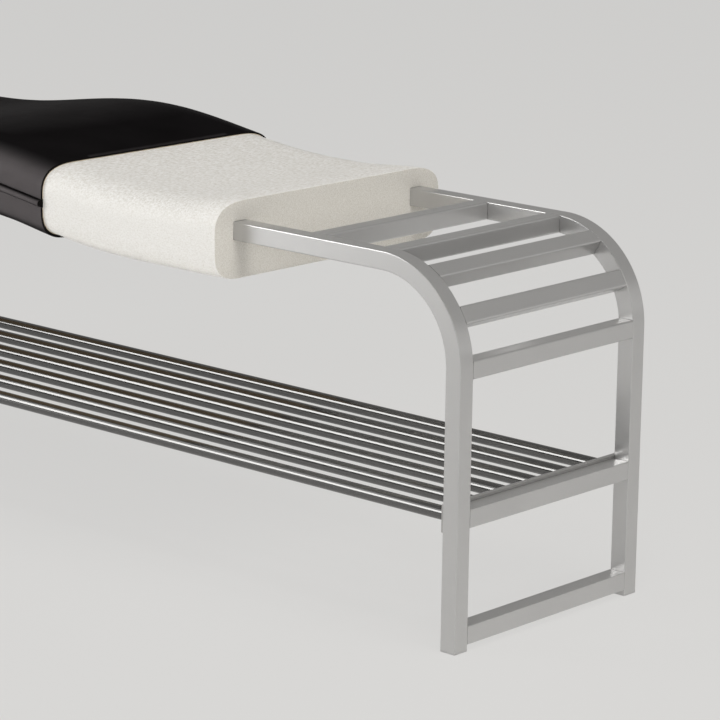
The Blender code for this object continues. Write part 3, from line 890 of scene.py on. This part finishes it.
def swollen(points, upper):
    """Cloth simulation of one panel, held at its border and pressed outwards by an even pressure. Gives
    capped moves.
    """
    rows, columns = points.shape[:2]
    faces = []
    for row in range(rows - 1):
        for column in range(columns - 1):
            a = row * columns + column
            quad = (a, a + 1, a + columns + 1, a + columns)
            faces.append(quad if upper else quad[::-1])
    mesh = bpy.data.meshes.new("panel_cloth")
    mesh.from_pydata([tuple(p) for p in points.reshape(-1, 3)], [], faces)
    cloth = bpy.data.objects.new("panel_cloth", mesh)
    bpy.context.scene.collection.objects.link(cloth)
    held = cloth.vertex_groups.new(name="held")
    border = [n for n in range(rows * columns)
              if n % columns in (0, columns - 1) or n // columns in (0, rows - 1)]
    held.add(border, 1.0, "REPLACE")
    sim = cloth.modifiers.new("cloth", "CLOTH")
    sim.settings.quality = CLOTH_QUALITY
    sim.settings.mass = CLOTH_MASS
    sim.settings.tension_stiffness = CLOTH_STRETCH
    sim.settings.compression_stiffness = CLOTH_STRETCH
    sim.settings.shear_stiffness = CLOTH_SHEAR
    sim.settings.bending_stiffness = CLOTH_BENDING
    sim.settings.vertex_group_mass = "held"
    sim.settings.use_pressure = True
    sim.settings.uniform_pressure_force = CLOTH_PRESSURE
    sim.settings.effector_weights.gravity = 0.0
    sim.collision_settings.use_collision = False
    sim.point_cache.frame_start = 1
    sim.point_cache.frame_end = CLOTH_FRAMES
    for number in range(1, CLOTH_FRAMES + 1):
        bpy.context.scene.frame_set(number)
    graph = bpy.context.evaluated_depsgraph_get()
    result = cloth.evaluated_get(graph).data
    moved = np.zeros(rows * columns * 3)
    result.vertices.foreach_get("co", moved)
    bpy.context.scene.frame_set(1)
    bpy.data.objects.remove(cloth, do_unlink=True)
    shift = moved.reshape(rows, columns, 3) - points
    size = np.linalg.norm(shift, axis=2, keepdims=True)
    return shift * (SWELL_CAP * np.tanh(size / SWELL_CAP) / np.maximum(size, SMALLEST_MOVE))


def panel_sheet(place, stations, grow, upper):
    """Rows of points over a leather panel, one row for each station."""
    return np.array([[place(s, y, z) for y, z in panel_outline(grow, upper)] for s in stations])


def seam_fold(upper):
    """Section of a panel's rounded seam edge, from its outside to its inside: growth and height."""
    sign = 1 if upper else -1
    seam = PIPING_Z + sign * (SEAM_HALF + SEAM_ROUND)
    fold = []
    for step in range(1, SEAM_STEPS + 1):
        turn = QUARTER * step / SEAM_STEPS
        grow = LEATHER_OUT - SEAM_ROUND * (1 - math.cos(turn))
        fold.append((grow, seam - sign * SEAM_ROUND * math.sin(turn)))
    return fold + [(LEATHER_IN, seam - sign * SEAM_ROUND)]


def panel_faces(rows, columns, bend):
    """Faces of a leather panel and their materials.

    Each row of points is a loop: over the outside, round the rear fold, back over the inside and
    round the front fold. The backing's edge on the first row follows after the last loop.
    """
    count = 2 * (columns + bend)
    faces = ring_faces(rows, count)
    inside = range(columns + bend, 2 * columns + bend - 1)
    indices = [BACK_PLACE if n % count in inside else SKIN_PLACE for n in range(len(faces))]
    indices[:columns - 1] = [CORE_AND_HOLE_SHADE_PLACE] * (columns - 1)
    middle, far = rows * count, (rows - 1) * count
    for n in range(columns - 1):
        opposite = 2 * columns + bend - 1 - n
        faces.append((n, n + 1, middle + n + 1, middle + n))
        faces.append((middle + n, middle + n + 1, opposite - 1, opposite))
        faces.append((far + n, far + n + 1, far + opposite - 1, far + opposite))
        indices += [CORE_AND_HOLE_SHADE_PLACE, BACK_PLACE, CORE_AND_HOLE_SHADE_PLACE]
    for first in (0, far):
        rear = list(range(first + columns - 1, first + columns + bend + 1))
        front = list(range(first + 2 * columns + bend - 1, first + count)) + [first]
        if first == 0:
            rear.append(middle + columns - 1)
            front.append(middle)
        faces += [tuple(rear), tuple(front)]
        indices += [CORE_AND_HOLE_SHADE_PLACE, CORE_AND_HOLE_SHADE_PLACE]
    return faces, indices


def add_panel(name, node, upper):
    """One leather panel with its thickness, rounded seam edges and a raw cut edge."""
    stations = [("along", LEATHER_CUT_X), ("along", LEATHER_CUT_X - LEATHER_EDGE)]
    stations += stations_between(LEATHER_CUT_X, LEFT_BEND_X, COVER_STEP)[1:] + seat_end_stations()
    place = seat_point if upper else hung_point
    outer = panel_sheet(place, stations, LEATHER_OUT, upper)
    outer[0] = panel_sheet(place, stations[:1], LEATHER_OUT - LEATHER_EDGE, upper)[0]
    inner = panel_sheet(seat_point, stations, LEATHER_IN, upper)
    middle = panel_sheet(seat_point, stations[:1], LEATHER_IN + BACKING, upper)[0]
    shift = swollen(outer, upper)
    outer, inner = outer + shift, inner + shift
    fold = seam_fold(upper)
    half = SEAT_WIDTH / 2
    rear = np.array([[seat_point(s, half + grow, z) for grow, z in fold] for s in stations])
    front = np.array([[seat_point(s, -half - grow, z) for grow, z in fold[::-1]] for s in stations])
    loops = np.concatenate([outer, rear, inner[:, ::-1], front], axis=1)
    verts = [*loops.reshape(-1, 3), *middle]
    faces, indices = panel_faces(len(stations), outer.shape[1], len(fold))
    panel = to_piece(name, verts, faces, [LEATHER_SKIN, LEATHER_CORE_AND_HOLE_SHADE, LEATHER_BACK], indices)
    dress(panel, node)


def add_end_panel(cutters):
    """Flat leather panel that closes the padded end from below."""
    top = PADDED_END_Z - CLEARANCE
    bottom = top - LEATHER
    rings = []
    for z, less in ((top, LEATHER_EDGE), (top - LEATHER_EDGE, 0.0),
                    (bottom + LEATHER_EDGE, 0.0), (bottom, LEATHER_EDGE)):
        rings.append([(LEFT_BEND_X - (up - BEND_Z), y, z) for y, up in seat_outline(LEATHER_OUT - less)])
    panel = cut_out(lofted("end_leather", rings, [LEATHER_SKIN]), cutters)
    dress(panel, "leather_end_panel")


def add_piping(name, node, side):
    """Piping cord in a seam, with a plain cut end at the cover's cut edge, and its flange behind it. Its
    black cut end is painted shade for the cord's open end.
    """
    y = side * (SEAT_WIDTH / 2 + CLEARANCE + PIPING_DIAMETER / 2)
    start = LEATHER_CUT_X - PIPING_SHORT
    cord = stations_between(start - PIPING_EDGE, LEFT_BEND_X, COVER_STEP) + seat_end_stations()
    verts = []
    for station, share in [(("along", start), PIPING_END_SHARE)] + [(s, 1.0) for s in cord]:
        radius = PIPING_DIAMETER / 2 * share
        verts += [seat_point(station, y + radius * math.cos(a), PIPING_Z + radius * math.sin(a))
                  for a in full_turn(PIPING_SIDES)]
    faces = ring_faces(len(cord) + 1, PIPING_SIDES)
    indices = [SKIN_PLACE] * len(faces)
    faces += [tuple(range(PIPING_SIDES)), tuple(range(len(verts) - PIPING_SIDES, len(verts)))]
    near, far = side * (SEAT_WIDTH / 2 + FLANGE_IN), side * (SEAT_WIDTH / 2 + FLANGE_OUT)
    low, high = PIPING_Z - SEAM_HALF, PIPING_Z + SEAM_HALF
    corners = ((near, low), (far, low), (far, high), (near, high))
    flange = stations_between(LEATHER_CUT_X, LEFT_BEND_X, COVER_STEP) + seat_end_stations()
    first = len(verts)
    for station in flange:
        verts += [seat_point(station, *corner) for corner in corners]
    faces += ring_faces(len(flange), len(corners), first)
    faces += [tuple(range(first, first + len(corners))), tuple(range(len(verts) - len(corners), len(verts)))]
    # The cord's cut ends and the flange take the black core, which on the near cut end is painted shade.
    indices += [CORE_AND_HOLE_SHADE_PLACE] * (len(faces) - len(indices))
    dress(to_piece(name, verts, faces, [LEATHER_SKIN, LEATHER_CORE_AND_HOLE_SHADE], indices), node)


# Floor, light and camera

def add_floor():
    """A pale floor that rises into a low rim far away."""
    profile = [(FLOOR_CENTRE, 0.0)]
    profile += [(FLOOR_RADIUS * n / FLOOR_RINGS, 0.0) for n in range(1, FLOOR_RINGS + 1)]
    for step in range(1, RIM_STEPS + 1):
        turn = QUARTER * step / RIM_STEPS
        profile.append((FLOOR_RADIUS + RIM_WIDTH * math.sin(turn), RIM_HEIGHT * (1 - math.cos(turn))))
    verts = [(radius * math.cos(a), radius * math.sin(a), z - FLOOR_DROP)
             for radius, z in profile for a in full_turn(FLOOR_SIDES)]
    faces = ring_faces(len(profile), FLOOR_SIDES) + [tuple(range(FLOOR_SIDES))]
    floor = to_piece("floor", verts, faces, [floor_material()])
    shape = bmesh.new()
    shape.from_mesh(floor.data)
    for face in shape.faces:
        if face.normal.z < 0:
            face.normal_flip()
    shape.to_mesh(floor.data)
    shape.free()


def add_lamp(name, direction, size, radiance, colour, distance=0.0, place=None, in_matte=True, in_gloss=True):
    """A soft box or card that lights matte surfaces, shows in glossy ones, or does both."""
    data = bpy.data.lights.new(name, "AREA")
    data.shape = "RECTANGLE"
    data.size, data.size_y = size
    data.energy = radiance * math.pi * size[0] * size[1]
    data.color = colour
    lamp = bpy.data.objects.new(name, data)
    bpy.context.scene.collection.objects.link(lamp)
    away = Vector(direction).normalized()
    lamp.location = place or TARGET + away * distance
    lamp.rotation_mode = "QUATERNION"
    lamp.rotation_quaternion = away.to_track_quat("Z", "Y")
    lamp.visible_camera = False
    lamp.visible_diffuse = in_matte
    lamp.visible_glossy = in_gloss


def add_world():
    """A pale backdrop for the eye, and a dim studio that metal shows."""
    world = bpy.data.worlds.new("studio")
    bpy.context.scene.world = world
    world.use_nodes = True
    tree = world.node_tree
    background = tree.nodes["Background"]
    background.inputs["Color"].default_value = (*STUDIO_COLOUR, 1.0)
    rays = add_node(tree, "ShaderNodeLightPath").outputs
    seen = computed(tree, "MAXIMUM", rays["Is Camera Ray"], rays["Is Transmission Ray"])
    backdrop = ranged(tree, seen, 0.0, 1.0, STUDIO_AIR, BACKDROP_GLOW)
    studio = ranged(tree, rays["Is Glossy Ray"], 0.0, 1.0, STUDIO_AIR, STUDIO_GLOW)
    feed(tree, background.inputs["Strength"], computed(tree, "MAXIMUM", backdrop, studio))


def add_camera():
    """The photograph's viewpoint."""
    level_share = math.cos(CAMERA_ELEVATION)
    back = Vector((math.sin(CAMERA_AZIMUTH) * level_share, -math.cos(CAMERA_AZIMUTH) * level_share,
                   math.sin(CAMERA_ELEVATION)))
    level = Vector((math.cos(CAMERA_AZIMUTH), math.sin(CAMERA_AZIMUTH), 0))
    above = back.cross(level)
    right = level * math.cos(CAMERA_ROLL) + above * math.sin(CAMERA_ROLL)
    up = above * math.cos(CAMERA_ROLL) - level * math.sin(CAMERA_ROLL)
    data = bpy.data.cameras.new("camera")
    data.sensor_width = CAMERA_SENSOR
    data.lens = CAMERA_LENS
    data.clip_end = CAMERA_SIGHT
    camera = bpy.data.objects.new("camera", data)
    bpy.context.scene.collection.objects.link(camera)
    turn = Matrix((right, up, back)).transposed()
    camera.matrix_world = Matrix.Translation(CAMERA_PLACE) @ turn.to_4x4()
    bpy.context.scene.camera = camera


add_camera()
add_frame()
add_rack()
cutters = channel_cutters()
add_foam(cutters)
add_panel("upper_leather", "leather_upper_panel", True)
add_panel("lower_leather", "leather_lower_panel", False)
add_end_panel(cutters)
add_piping("front_piping_cord", "front_piping", -1)
add_piping("rear_piping_cord", "rear_piping", 1)
for cutter in cutters:
    bpy.data.objects.remove(cutter, do_unlink=True)
add_floor()
for lamp in LAMPS:
    add_lamp(**lamp)
add_world()
bpy.context.scene.view_settings.view_transform = "Standard"
